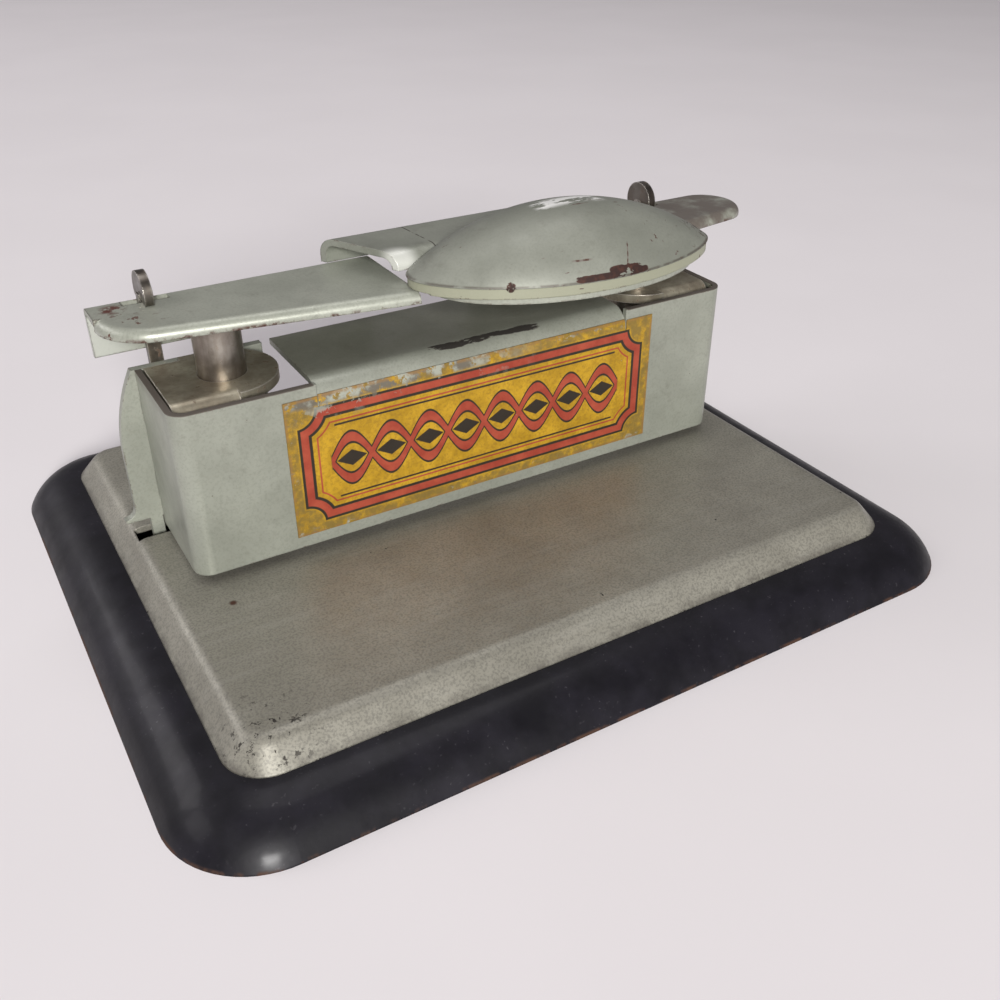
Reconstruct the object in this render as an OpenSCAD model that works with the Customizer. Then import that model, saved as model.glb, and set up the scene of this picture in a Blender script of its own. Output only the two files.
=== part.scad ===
// Two-hole paper punch: pan base, sheet case, two crossed levers and a press pad.
// Millimetres. Origin at the middle of the base's underside, +X along its length,
// +Y to the back, +Z up.

/* [Base] */
// length of the base along X
base_length = 122; // [120:1:134]
// depth of the base along Y
base_depth = 101.5; // [100:0.5:114]
// outer corner radius of the base
base_corner = 12.5; // [11.5:0.5:16]
// corner radius of the bed's foot
bed_corner = 5.8; // [5.5:0.1:7]
// width of the black rim
rim_width = 8.6; // [8.2:0.1:9.2]
// height of the rim at its inner edge
rim_height = 5.2; // [5:0.1:5.8]
// height of the bed above the rim
bed_rise = 3.4; // [3:0.1:4]
// run of the bed's sloped side
bed_run = 3; // [2.6:0.1:3.2]
// sheet thickness of the base parts
base_sheet = 0.9; // [0.8:0.05:1]

/* [Punching] */
// distance between the two holes
hole_spacing = 69.85; // [68.5:0.05:71]
// punch diameter
punch_d = 6.6; // [6.3:0.1:6.7]
// radial clearance of the punch in its guides
punch_clear = 0.05; // [0.03:0.01:0.08]
// paper gap between bed and case
paper_gap = 0.9; // [0.7:0.1:1.1]
// distance of the punch line behind the middle of the base
punch_y = 3.6; // [3.5:0.1:3.7]

/* [Case] */
// length of the case along X
case_length = 90.2; // [89.6:0.1:91]
// height of the case
case_height = 24.7; // [24:0.1:27]
// depth from the front of the case to the back frame
case_depth = 16.83; // [16.6:0.01:17.2]
// sheet thickness of the case
case_sheet = 0.9; // [0.8:0.05:1]
// thickness of the guide brackets
guide_sheet = 1.4; // [1.2:0.1:1.6]

/* [Levers] */
// height of the lever underside above the case
lever_gap = 7.95; // [7.8:0.05:9]
// sheet thickness of the levers
lever_sheet = 0.9; // [0.8:0.05:0.95]
// depth of the deep back flange, from the top of the lever
back_flange = 7.2; // [6:0.1:7.4]
// depth of the shallow front lip, from the top of the lever
front_lip = 1.6; // [1.4:0.1:1.7]
// length of the right lever's tail past its post
tail_right = 15.9; // [14:0.1:17]
// length of the left lever's tail past its post
tail_left = 7.1; // [6.8:0.05:8.2]

/* [Press pad] */
// length of the pad along X
pad_length = 48.2; // [46:0.1:50]
// width of the pad along Y
pad_width = 24.4; // [23.8:0.1:25.2]
// height of the pad above its rim band
pad_rise = 7.7; // [7.2:0.1:8.6]
// height of the pad's rim band
pad_band = 1.5; // [1.2:0.1:2]
// turn of the pad on its lever
pad_turn = -5.8; // [-7:0.1:0]

/* [Springs] */
// wire diameter
wire_d = 0.9; // [0.8:0.05:1]
// number of curls in each spring
curls = 7; // [6:1:8]

/* [Hidden] */
$fn = 64;

black = [0.06, 0.06, 0.07];
silver = [0.62, 0.62, 0.58];
paint = [0.58, 0.60, 0.54];
steel = [0.55, 0.52, 0.48];
gold = [0.72, 0.53, 0.14];

// base heights and outlines
bed_top = rim_height + bed_rise;
rim_r = (pow(rim_width, 2) + pow(rim_height, 2)) / (2 * rim_height);
bed_l = base_length - 2 * rim_width;
bed_d = base_depth - 2 * rim_width;
bed_r = bed_corner;
pan_r = base_corner - rim_width;
bed_sheet = 1;
crease_r = 2.5;
slope = atan(bed_rise / bed_run);
crease_run = crease_r * tan(slope / 2);
ledge_w = 5.4;
ledge_z = rim_height - base_sheet;
tab_w = 6;
tab_x = 30;
cover_z = 0.5;
cover_sheet = 0.8;
cover_top = cover_z + cover_sheet;
cover_in = rim_width + 0.1
    - sqrt(pow(rim_r - base_sheet, 2) - pow(cover_top + rim_r - rim_height, 2));

// punching line
punch_x = hole_spacing / 2;
punch_r = punch_d / 2;
bore_r = punch_r + punch_clear;
die_r = 6;
die_h = 4;
case_z = bed_top + paper_gap;
case_top = case_z + case_height;
lever_z = case_top + lever_gap;
lever_top = lever_z + lever_sheet;
punch_tip = bed_top + 0.55;
punch_top = lever_z - 0.05;
head_bevel = 0.4;

// case and back frame
frame_y = punch_y + 6.4;
frame_t = 1.25;
frame_back = frame_y + frame_t;
case_front = frame_y - case_depth;
case_r = 2.5;
flap_half = 25.5;
flap_back = frame_y + 1;
bend_r = 3.2;
frame_low = 17;
frame_tall_x = 27;
ear_r = 27;
ear_reach = 3.7;
ear_out = case_length / 2 + ear_reach;
ear_z = 21.5;
foot_x0 = 45.2;
foot_x1 = 47;
foot_t = 1.2;
arch_h = 2.2;
arch_w = 1.6;
toe_r = 1.7;
toe_t = 0.5;
bed_under = bed_top - bed_sheet;
slot_out = 2.45;
slot_x0 = foot_x0 - arch_w;
slot_x1 = foot_x1 + slot_out;
slot_y0 = frame_y - 1.4;
slot_y1 = frame_back + 0.65;
wall_tabs = [14, 26];
wall_tab_h = 4;

// guide brackets
guide_r = 7.6;
guide_x = case_length / 2 - case_sheet - 0.25 - punch_x;
guide_back = frame_y - punch_y;
guide_bend = 1.8;
guide_under = case_top - guide_sheet;
guide_floor = case_z + guide_sheet;
tenon_x0 = -1;
tenon_w = 5;

// collars, pins and springs
collar_top = guide_under - 0.1;
collar_h = 4.2;
collar_z = collar_top - collar_h;
collar_r = 5.2;
pin_r = 0.75;
pin_len = 9.8;
pin_z = collar_z + collar_h / 2;
spring_r = 4.45;
wire_r = wire_d / 2;
spring_len = collar_z - guide_floor;
rings = 8;
sides = 6;

// posts
post_x = 41.6;
post_t = 1.25;
neck_w = 1.9;
post_y0 = frame_back;
post_y1 = frame_back + post_t;
post_mid = (post_y0 + post_y1) / 2;
head_w = 6;
head_z = lever_top + 0.05;
head_h = 4;
foot_w = 6;
foot_z0 = 22;
foot_z1 = 33;
rivet_r = 1;
rivet_head = 1.7;
rivet_z = [25, 30];

// levers: back edge, front edge line and outer ends
back_y = post_y1 + 1.25;
fold_r = 1.3;
inner_x = 8.5;
pivot_x = post_x + post_t / 2;
end_r = 7.5;
end_x = pivot_x + tail_left - end_r;
end_y = 8;
edge_a = 9.15;
edge_p = [-end_x - end_r * sin(edge_a), end_y - end_r * cos(edge_a)];
edge_len = (-inner_x - edge_p[0]) / cos(edge_a);
slot_w = 6.4;
slot_front = post_y0 - 0.3;
slot_back = post_y1 + 0.3;
tail_tip = pivot_x + tail_right;
tail_r = (back_y - edge_p[1] - (tail_tip + edge_p[0]) * tan(edge_a)) / (1 + 1 / cos(edge_a) - tan(edge_a));
tail_x = tail_tip - tail_r;
tail_y = back_y - tail_r;
tail_len = (tail_x + tail_r * sin(edge_a) + edge_p[0]) / cos(edge_a);
bare_x = 37;
bare_len = (-bare_x - edge_p[0]) / cos(edge_a);

// yoke
yoke_x0 = -15.4;
yoke_front_x = -9;
yoke_x1 = 25;
yoke_y0 = 0.95;
yoke_h = 3.75;
yoke_r = 2.4;
yoke_lift = 1.3;
yoke_t = 1;
yoke_top = lever_top + yoke_h;

// press pad: part of a barrel round an axis along X
pad_x = 14.6;
pad_y = -5.1;
pad_t = 1;
band_in = 0.12;
pad_a = pad_length / 2;
pad_b = pad_width / 2;
pad_z = lever_top + pad_band;
long_r = (pow(pad_a, 2) + pow(pad_rise, 2)) / (2 * pad_rise);
cross_r = (pow(pad_b, 2) + pow(pad_rise, 2)) / (2 * pad_rise);
axis_drop = cross_r - pad_rise;
paddle_a = 21;
paddle_b = 11.7;
stud_x = [7.5, 22.3];
stud_r = 2;
stud_head_r = 3;
stud_head_h = 1.1;

// label plate
label_l = 61;
label_z0 = 11.4;
label_h = 21.2;
label_t = 0.15;
label_glue = 0.04;

module round_rect(l, d, r) {
    square([l - 2 * r, d], center = true);
    square([l, d - 2 * r], center = true);
    for (sx = [-1, 1], sy = [-1, 1])
        translate([sx * (l / 2 - r), sy * (d / 2 - r)])
            circle(r = r);
}

// a profile drawn at radius r from a corner's centre, taken once round a rectangle
module around(l, d, r) {
    for (k = [0:3]) {
        out = (k % 2 == 0 ? l : d) / 2 - r;
        run = (k % 2 == 0 ? d : l) / 2 - r;
        rotate([0, 0, 90 * k])
            translate([out, 0, 0])
                rotate([90, 0, 0])
                    linear_extrude(2 * run, center = true)
                        children();
        rotate([0, 0, 90 * k])
            translate([out, run, 0])
                rotate_extrude(angle = 90)
                    children();
    }
}

// a profile drawn in Y and Z, taken from x0 to x1
module along_x(x0, x1) {
    translate([x0, 0, 0])
        rotate([90, 0, 90])
            linear_extrude(x1 - x0)
                children();
}

module box(a, b) {
    translate(a)
        cube(b - a);
}

module both_sides() {
    children();
    mirror([1, 0, 0])
        children();
}

module pan_section() {
    intersection() {
        translate([pan_r, rim_height - rim_r])
            difference() {
                circle(r = rim_r, $fn = 96);
                circle(r = rim_r - base_sheet, $fn = 96);
            }
        translate([pan_r, 0])
            square([rim_width + 1, rim_height + 1]);
    }
}

// tab places on the bed's four sides: middle of the side, half width and turn
module bed_tabs(w0, w1, z0, z1, width) {
    for (sx = [-1, 1], t = [0, 180])
        rotate([0, 0, t])
            box([sx * tab_x - width / 2, bed_d / 2 - w1, z0], [sx * tab_x + width / 2, bed_d / 2 - w0, z1]);
    for (t = [0, 180])
        rotate([0, 0, t])
            box([bed_l / 2 - w1, -width / 2 - 20, z0], [bed_l / 2 - w0, width / 2 - 20, z1]);
}

module base_pan() {
    color(black) {
        around(base_length, base_depth, base_corner)
            pan_section();
        difference() {
            translate([0, 0, ledge_z])
                linear_extrude(base_sheet)
                    difference() {
                        round_rect(bed_l, bed_d, pan_r);
                        round_rect(bed_l - 2 * ledge_w, bed_d - 2 * ledge_w, 2);
                    }
            bed_tabs(0.3, 1.3, ledge_z - 1, rim_height + 1, tab_w + 0.2);
        }
    }
}

module bed_section() {
    crease_x = bed_r - bed_run - crease_run;
    step = slope / 6;
    inner = bed_sheet / sin(slope);
    polygon(concat(
        [[bed_r, rim_height]],
        [for (i = [0:6])
            [crease_x + crease_r * cos(90 - slope + i * step),
             bed_top - crease_r + crease_r * sin(90 - slope + i * step)]],
        [[crease_x - 0.6, bed_top],
         [crease_x - 0.6, bed_under],
         [bed_r - inner - (bed_rise - bed_sheet) / tan(slope), bed_under],
         [bed_r - inner, rim_height]]));
}

module bed_plate() {
    run = bed_run + crease_run + 0.3;
    color(silver)
        difference() {
            union() {
                around(bed_l, bed_d, bed_r)
                    bed_section();
                translate([0, 0, bed_under])
                    linear_extrude(bed_sheet)
                        round_rect(bed_l - 2 * run, bed_d - 2 * run, bed_r - run);
                bed_tabs(0.35, 1.25, ledge_z - 0.9, rim_height + 0.3, tab_w);
                bed_tabs(0.35, 4.2, ledge_z - 0.9, ledge_z, tab_w);
            }
            both_sides() {
                translate([punch_x, punch_y, bed_under - 1])
                    cylinder(r = die_r, h = bed_sheet + 2);
                box([slot_x0, slot_y0, bed_under - 1], [slot_x1, slot_y1, bed_top + 1]);
            }
        }
}

// flat sheet pressed into the rim of the pan
module bottom_cover() {
    color(steel)
        translate([0, 0, cover_z])
            linear_extrude(cover_sheet)
                round_rect(base_length - 2 * cover_in, base_depth - 2 * cover_in, base_corner - cover_in);
}

module die() {
    color(steel)
        translate([punch_x, punch_y, bed_top - die_h])
            difference() {
                cylinder(r = die_r, h = die_h);
                translate([0, 0, -1])
                    cylinder(r = bore_r, h = die_h + 2);
                translate([0, 0, -1])
                    cylinder(r = bore_r + 0.5, h = die_h - 1);
            }
}

module die_left() {
    mirror([1, 0, 0])
        die();
}

module die_right() {
    die();
}

// right half of the frame, drawn in X and Z
module frame_half() {
    ear_low = bed_top + arch_h;
    translate([-1, bed_top])
        square([slot_x0 + 1, frame_low - bed_top]);
    translate([frame_tall_x, ear_low])
        square([ear_out - frame_tall_x, ear_z - ear_low]);
    intersection() {
        translate([ear_out - ear_r, ear_z])
            circle(r = ear_r, $fn = 96);
        translate([frame_tall_x, ear_z - 1])
            square([ear_out - frame_tall_x + 1, case_top - ear_z + 1]);
    }
    difference() {
        translate([ear_out - toe_t, ear_low])
            square([toe_r + toe_t, toe_r + toe_t]);
        translate([ear_out + toe_r, ear_low + toe_r + toe_t])
            circle(r = toe_r);
    }
    translate([foot_x0, bed_under - foot_t])
        square([foot_x1 - foot_x0, ear_low + 1 - bed_under + foot_t]);
}

module back_frame() {
    color(paint)
        both_sides()
            difference() {
                union() {
                    translate([0, frame_back, 0])
                        rotate([90, 0, 0])
                            linear_extrude(frame_t)
                                frame_half();
                    box([foot_x0, frame_y - 3.5, bed_under - foot_t], [foot_x1, frame_back, bed_under]);
                }
                guide_tenons(1);
                wall_tenons(1);
                for (z = rivet_z)
                    translate([post_x, frame_y - 1, z])
                        rotate([-90, 0, 0])
                            cylinder(r = rivet_r, h = frame_t + 2);
            }
}

// tenons of the right guide and of the case's right wall, run past both faces to cut
module guide_tenons(past) {
    for (z = [case_z, guide_under])
        box([punch_x + tenon_x0, frame_y - past, z],
            [punch_x + tenon_x0 + tenon_w, frame_back + past, z + guide_sheet]);
}

module wall_tenons(past) {
    for (z = wall_tabs)
        box([case_length / 2 - case_sheet, frame_y - past, z],
            [case_length / 2, frame_back + past, z + wall_tab_h]);
}

// flat steel tab: foot on the frame, narrow neck, head turned across the lever
module post() {
    color(steel)
        translate([post_x, 0, 0])
            difference() {
                union() {
                    box([-foot_w / 2, post_y0, foot_z0], [foot_w / 2, post_y1, foot_z1]);
                    box([-neck_w / 2, post_y0, foot_z1], [neck_w / 2, post_y1, head_z + 1]);
                    translate([-post_t / 2, post_mid, head_z])
                        intersection() {
                            box([0, -head_w / 2, 0], [post_t, head_w / 2, head_h]);
                            translate([0, 0, head_h - head_w / 2])
                                rotate([0, 90, 0])
                                    cylinder(r = head_w / 2, h = post_t);
                        }
                }
                for (z = rivet_z)
                    translate([0, post_y0 - 1, z])
                        rotate([-90, 0, 0])
                            cylinder(r = rivet_r, h = post_t + 2);
            }
}

module post_left() {
    mirror([1, 0, 0])
        post();
}

module post_right() {
    post();
}

module rivet() {
    rotate([-90, 0, 0]) {
        cylinder(r = rivet_r, h = frame_t + post_t);
        for (z = [-0.6, frame_t + post_t])
            translate([0, 0, z])
                cylinder(r = rivet_head, h = 0.6);
    }
}

module post_rivets() {
    color(steel)
        both_sides()
            for (z = rivet_z)
                translate([post_x, frame_y, z])
                    rivet();
}

// plan of the case, drawn as far as the given back line
module case_plan(inset, back) {
    half = case_length / 2 - inset;
    r = case_r - inset;
    y0 = case_front + inset;
    translate([-half + r, y0])
        square([2 * half - 2 * r, back - y0]);
    translate([-half, y0 + r])
        square([2 * half, back - y0 - r]);
    for (s = [-1, 1])
        translate([s * (half - r), y0 + r])
            circle(r = r);
}

module flap_section() {
    translate([case_front + bend_r, case_top - bend_r])
        intersection() {
            difference() {
                circle(r = bend_r);
                circle(r = bend_r - case_sheet);
            }
            translate([-bend_r, 0])
                square(bend_r);
        }
    translate([case_front + bend_r, case_top - case_sheet])
        square([flap_back - case_front - bend_r, case_sheet]);
}

module shell() {
    color(paint) {
        difference() {
            translate([0, 0, case_z])
                linear_extrude(case_height)
                    difference() {
                        case_plan(0, frame_y);
                        case_plan(case_sheet, frame_y + 1);
                    }
            box([-flap_half, case_front - 1, case_top - bend_r],
                [flap_half, case_front + bend_r, case_top + 1]);
        }
        along_x(-flap_half, flap_half)
            flap_section();
        both_sides()
            wall_tenons(0);
    }
}

// the label lies on the front and its top follows the bend
module label() {
    bend_z = case_top - bend_r;
    back_r = bend_r + label_glue;
    back = case_front - label_glue;
    label_top = label_z0 + label_h;
    color(gold) {
        along_x(-label_l / 2, label_l / 2)
            translate([back - label_t, label_z0])
                square([label_t, bend_z - label_z0]);
        along_x(-flap_half + 0.1, flap_half - 0.1)
            translate([case_front + bend_r, bend_z])
                intersection() {
                    difference() {
                        circle(r = back_r + label_t);
                        circle(r = back_r);
                    }
                    translate([-bend_r - 1, 0])
                        square([bend_r + 1, label_top - bend_z]);
                }
        both_sides()
            box([flap_half + 0.1, back - label_t, bend_z - 1], [label_l / 2, back, label_top]);
    }
}

module guide_plan() {
    intersection() {
        union() {
            circle(r = guide_r);
            translate([0, -guide_r])
                square([guide_x, 2 * guide_r]);
        }
        translate([-guide_r, -guide_r])
            square([guide_r + guide_x, guide_r + guide_back]);
    }
}

// C-shaped section of the bracket, drawn in Y and Z from the punch axis
module guide_section() {
    r = guide_bend;
    difference() {
        union() {
            translate([-guide_r + r, case_z])
                square([guide_back + guide_r - r, case_height]);
            translate([-guide_r, case_z + r])
                square([r, case_height - 2 * r]);
            for (z = [case_z + r, case_top - r])
                translate([-guide_r + r, z])
                    circle(r = r);
        }
        translate([-guide_r + guide_sheet, guide_floor])
            square([guide_back + guide_r, case_height - 2 * guide_sheet]);
    }
}

module guide() {
    color(steel)
        difference() {
            translate([punch_x, punch_y, 0]) {
                along_x(0, guide_x)
                    guide_section();
                for (z = [case_z, guide_under])
                    translate([0, 0, z])
                        linear_extrude(guide_sheet)
                            intersection() {
                                guide_plan();
                                translate([-guide_r, -guide_r])
                                    square([guide_r, 2 * guide_r]);
                            }
            }
            translate([punch_x, punch_y, case_z - 1])
                cylinder(r = bore_r, h = case_height + 2);
        }
    color(steel)
        guide_tenons(0);
}

module guide_left() {
    mirror([1, 0, 0])
        guide();
}

module guide_right() {
    guide();
}

module pin_hole() {
    translate([0, 0, pin_z])
        rotate([90, 0, 0])
            cylinder(r = pin_r, h = 3 * collar_r, center = true);
}

module punch() {
    color(steel)
        translate([punch_x, punch_y, 0])
            difference() {
                rotate_extrude()
                    polygon([
                        [0, punch_tip],
                        [punch_r, punch_tip],
                        [punch_r, punch_top - head_bevel],
                        [punch_r - head_bevel, punch_top],
                        [0, punch_top]]);
                pin_hole();
            }
}

module punch_left() {
    mirror([1, 0, 0])
        punch();
}

module punch_right() {
    punch();
}

module collar() {
    color(steel)
        translate([punch_x, punch_y, 0])
            difference() {
                translate([0, 0, collar_z])
                    cylinder(r = collar_r, h = collar_h);
                translate([0, 0, collar_z - 1])
                    cylinder(r = punch_r, h = collar_h + 2);
                pin_hole();
            }
}

module collar_left() {
    mirror([1, 0, 0])
        collar();
}

module collar_right() {
    collar();
}

module collar_pin() {
    color(steel)
        translate([punch_x, punch_y, pin_z])
            rotate([90, 0, 0])
                cylinder(r = pin_r, h = pin_len, center = true);
}

module collar_pin_left() {
    mirror([1, 0, 0])
        collar_pin();
}

module collar_pin_right() {
    collar_pin();
}

// spring centre line: [turn in degrees, height, lean of the ring from level]
bend_run = 1.1 * wire_d;
bend_deg = bend_run / spring_r * 180 / PI;
coil_z0 = wire_d + bend_run;
coil_z1 = spring_len - coil_z0;
coil_n = curls * rings;
spring_line = concat(
    [[0, 0, 0], [0, wire_d, 0], [bend_deg * 0.3, wire_d + bend_run * 0.7, 45]],
    [for (i = [0:coil_n])
        [bend_deg + 360 * i / rings, coil_z0 + (coil_z1 - coil_z0) * i / coil_n, 90]],
    [[2 * bend_deg + 360 * curls - bend_deg * 0.3, spring_len - wire_d - bend_run * 0.7, 45],
     [2 * bend_deg + 360 * curls, spring_len - wire_d, 0],
     [2 * bend_deg + 360 * curls, spring_len, 0]]);

function spring_mid(p) = [spring_r * cos(p[0]), spring_r * sin(p[0]), p[1]];

function spring_ring(p) = [for (k = [0:sides - 1])
    let (
        a = 360 * k / sides,
        out = wire_r * cos(a),
        along = wire_r * sin(a) * cos(p[2]),
        up = -wire_r * sin(a) * sin(p[2]))
    [(spring_r + out) * cos(p[0]) - along * sin(p[0]),
     (spring_r + out) * sin(p[0]) + along * cos(p[0]),
     p[1] + up]];

spring_points = [for (p = spring_line) each spring_ring(p)];
ring_count = len(spring_line);
spring_faces = concat(
    [for (k = [1:sides - 2]) [0, k, k + 1]],
    [for (i = [0:ring_count - 2], k = [0:sides - 1])
        let (a = i * sides + k, b = i * sides + (k + 1) % sides)
        each [[a, b + sides, b], [a, a + sides, b + sides]]],
    [for (k = [1:sides - 2])
        let (e = (ring_count - 1) * sides)
        [e, e + k + 1, e + k]]);

// least gap between curls, from centre points more than half a turn apart
spring_gap = min([for (i = [0:ring_count - 1], j = [i + 5:1:ring_count - 1])
    norm(spring_mid(spring_line[i]) - spring_mid(spring_line[j]))]) - wire_d;
echo(spring_gap = spring_gap);

module spring() {
    color(steel)
        translate([punch_x, punch_y, guide_floor])
            polyhedron(points = spring_points, faces = spring_faces);
}

module spring_left() {
    translate([-hole_spacing, 0, 0])
        spring();
}

module spring_right() {
    spring();
}

// folded sheet edge: web of the given run ending in a lip of the given depth at 0
module lip(run, depth, r) {
    translate([-run, lever_z])
        square([run - r, lever_sheet]);
    translate([-r, lever_top - r])
        intersection() {
            difference() {
                circle(r = r);
                circle(r = r - lever_sheet);
            }
            square(r);
        }
    translate([-lever_sheet, lever_top - depth])
        square([lever_sheet, depth - r]);
}

// front edge of the left lever between two distances from its end curve
module front_edge(from, to) {
    translate([edge_p[0], edge_p[1], 0])
        rotate([90, 0, 90 - edge_a])
            mirror([1, 0, 0])
                translate([0, 0, from])
                    linear_extrude(to - from)
                        lip(3, front_lip, fold_r);
}

// point on that edge, set in from it
function edge_at(along, inset) = edge_p
    + along * [cos(edge_a), -sin(edge_a)]
    + inset * [sin(edge_a), cos(edge_a)];

module back_edge(x0, x1) {
    translate([0, back_y, 0])
        along_x(x0, x1)
            lip(4, back_flange, fold_r);
}

module post_slot() {
    box([-post_x - slot_w / 2, slot_front, lever_z - 1], [-post_x + slot_w / 2, slot_back, lever_top + 1]);
}

module lever_left() {
    x_out = -end_x - end_r;
    color(paint)
        difference() {
            intersection() {
                union() {
                    translate([0, 0, lever_z])
                        linear_extrude(lever_sheet)
                            polygon([
                                [x_out, end_y],
                                [-end_x, end_y],
                                edge_at(0, 1.5),
                                edge_at(edge_len + 2, 1.5),
                                [-inner_x + 2, back_y - fold_r],
                                [x_out, back_y - fold_r]]);
                    front_edge(0, edge_len + 2);
                    back_edge(x_out, -inner_x);
                    translate([-end_x, end_y, 0])
                        rotate([0, 0, 180])
                            rotate_extrude(angle = 90 - edge_a)
                                translate([end_r, 0])
                                    lip(end_r, front_lip, fold_r);
                }
                box([x_out - 1, -20, 0], [-inner_x, 30, 60]);
            }
            post_slot();
        }
}

module oval(a, b) {
    polygon([for (i = [0:71]) [a * cos(5 * i), b * sin(5 * i)]]);
}

// plan of the right lever's web, with the oval paddle that carries the pad
module right_web() {
    mirror([1, 0])
        polygon([
            [-tail_x, tail_y],
            edge_at(-tail_len, 1.5),
            edge_at(bare_len, 1.5),
            edge_at(bare_len, 0),
            edge_at(edge_len, 0),
            [-inner_x, back_y - fold_r],
            [-tail_x, back_y - fold_r]]);
    translate([pad_x, pad_y])
        rotate(pad_turn)
            oval(paddle_a, paddle_b);
}

// right lever: the same edges mirrored, with a round tail
module lever_right() {
    color(paint)
        difference() {
            union() {
                mirror([1, 0, 0]) {
                    front_edge(-tail_len, bare_len);
                    back_edge(-tail_x, -inner_x);
                }
                translate([0, 0, lever_z])
                    linear_extrude(lever_sheet)
                        right_web();
                translate([tail_x, tail_y, 0])
                    rotate([0, 0, -90 + edge_a])
                        rotate_extrude(angle = 180 - edge_a)
                            translate([tail_r, 0])
                                lip(tail_r, front_lip, fold_r);
            }
            mirror([1, 0, 0])
                post_slot();
            for (x = stud_x)
                translate([x, pad_y, lever_z - 1])
                    cylinder(r = stud_r, h = lever_sheet + 2);
        }
}

module yoke_section() {
    difference() {
        intersection() {
            translate([yoke_y0, lever_top])
                square([back_y - yoke_y0, yoke_h]);
            union() {
                translate([yoke_y0, lever_top])
                    square([back_y - yoke_y0, yoke_h - yoke_r]);
                translate([yoke_y0 + yoke_r, lever_top])
                    square([back_y - yoke_y0 - 2 * yoke_r, yoke_h]);
                for (y = [yoke_y0 + yoke_r, back_y - yoke_r])
                    translate([y, yoke_top - yoke_r])
                        circle(r = yoke_r);
            }
        }
        translate([yoke_y0 + yoke_t, lever_top - 1])
            square([back_y - yoke_y0 - 2 * yoke_t, yoke_h + 1 - yoke_r]);
        translate([yoke_y0 + yoke_r, lever_top - 1])
            square([back_y - yoke_y0 - 2 * yoke_r, yoke_h + 1 - yoke_t]);
        for (y = [yoke_y0 + yoke_r, back_y - yoke_r])
            translate([y, yoke_top - yoke_r])
                circle(r = yoke_r - yoke_t);
    }
}

module yoke() {
    yoke_w = back_y - yoke_y0;
    slant = atan((yoke_front_x - yoke_x0) / yoke_w);
    color(paint)
        difference() {
            along_x(yoke_x0, yoke_x1)
                yoke_section();
            box([yoke_x0 - 1, 0, lever_top - 1], [0, back_y + 1, lever_top + 0.05]);
            box([yoke_x0 - 1, 0, lever_top - 1], [0, yoke_y0 + yoke_r, lever_top + yoke_lift]);
            translate([yoke_x0, back_y, lever_top - 1])
                rotate([0, 0, slant])
                    translate([-yoke_w, -2 * yoke_w, 0])
                        cube([yoke_w, 3 * yoke_w, yoke_h + 2]);
        }
}

// solid barrel under the pad's surface, less t all round
module pad_barrel(t) {
    translate([pad_x, pad_y, pad_z - axis_drop])
        rotate([0, 90, pad_turn])
            rotate_extrude($fn = 128)
                intersection() {
                    translate([-(long_r - cross_r), 0])
                        circle(r = long_r - t, $fn = 128);
                    translate([0, -pad_a - 1])
                        square([cross_r + 1, pad_length + 2]);
                }
}

// outline of the barrel at the height of the rim
function pad_edge(t) =
    let (
        c = axis_drop + long_r - cross_r,
        a = sqrt(pow(long_r - t, 2) - pow(c, 2)))
    [for (i = [0:95])
        let (
            s = 360 * i / 96,
            x = a * cos(s),
            rho = sqrt(pow(long_r - t, 2) - pow(x, 2)) - (long_r - cross_r),
            y = sqrt(max(0, pow(rho, 2) - pow(axis_drop, 2))))
        [x, (sin(s) < 0 ? -1 : 1) * y]];

module press_dome() {
    color(paint)
        difference() {
            union() {
                intersection() {
                    difference() {
                        pad_barrel(0);
                        pad_barrel(pad_t);
                    }
                    box([pad_x - pad_a - 5, pad_y - pad_b - 5, pad_z],
                        [pad_x + pad_a + 5, pad_y + pad_b + 5, pad_z + pad_rise + 1]);
                }
                translate([pad_x, pad_y, lever_top])
                    rotate(pad_turn)
                        linear_extrude(pad_band)
                            difference() {
                                polygon(pad_edge(band_in));
                                polygon(pad_edge(pad_t - band_in));
                            }
            }
            box([yoke_x0 - 1, yoke_y0 - 0.45, lever_top - 1], [yoke_x1 + 0.5, back_y + pad_b, yoke_top + 0.4]);
            box([pad_x - pad_a - 1, pad_y - pad_b, lever_top - 1],
                [-inner_x + 0.6, pad_y + pad_b, lever_top + 0.2]);
        }
}

module press_studs() {
    color(steel)
        for (x = stud_x) {
            intersection() {
                translate([x, pad_y, lever_z])
                    cylinder(r = stud_r, h = 20);
                pad_barrel(pad_t);
            }
            translate([x, pad_y, lever_z - stud_head_h])
                cylinder(r = stud_head_r, h = stud_head_h);
        }
}

base_pan();
bed_plate();
bottom_cover();
die_left();
die_right();
back_frame();
post_left();
post_right();
post_rivets();
shell();
label();
guide_left();
guide_right();
punch_left();
punch_right();
collar_left();
collar_right();
collar_pin_left();
collar_pin_right();
spring_left();
spring_right();
lever_left();
lever_right();
yoke();
press_dome();
press_studs();
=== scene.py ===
import math
from collections import namedtuple

import bpy
from mathutils import Matrix, Vector


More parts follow.
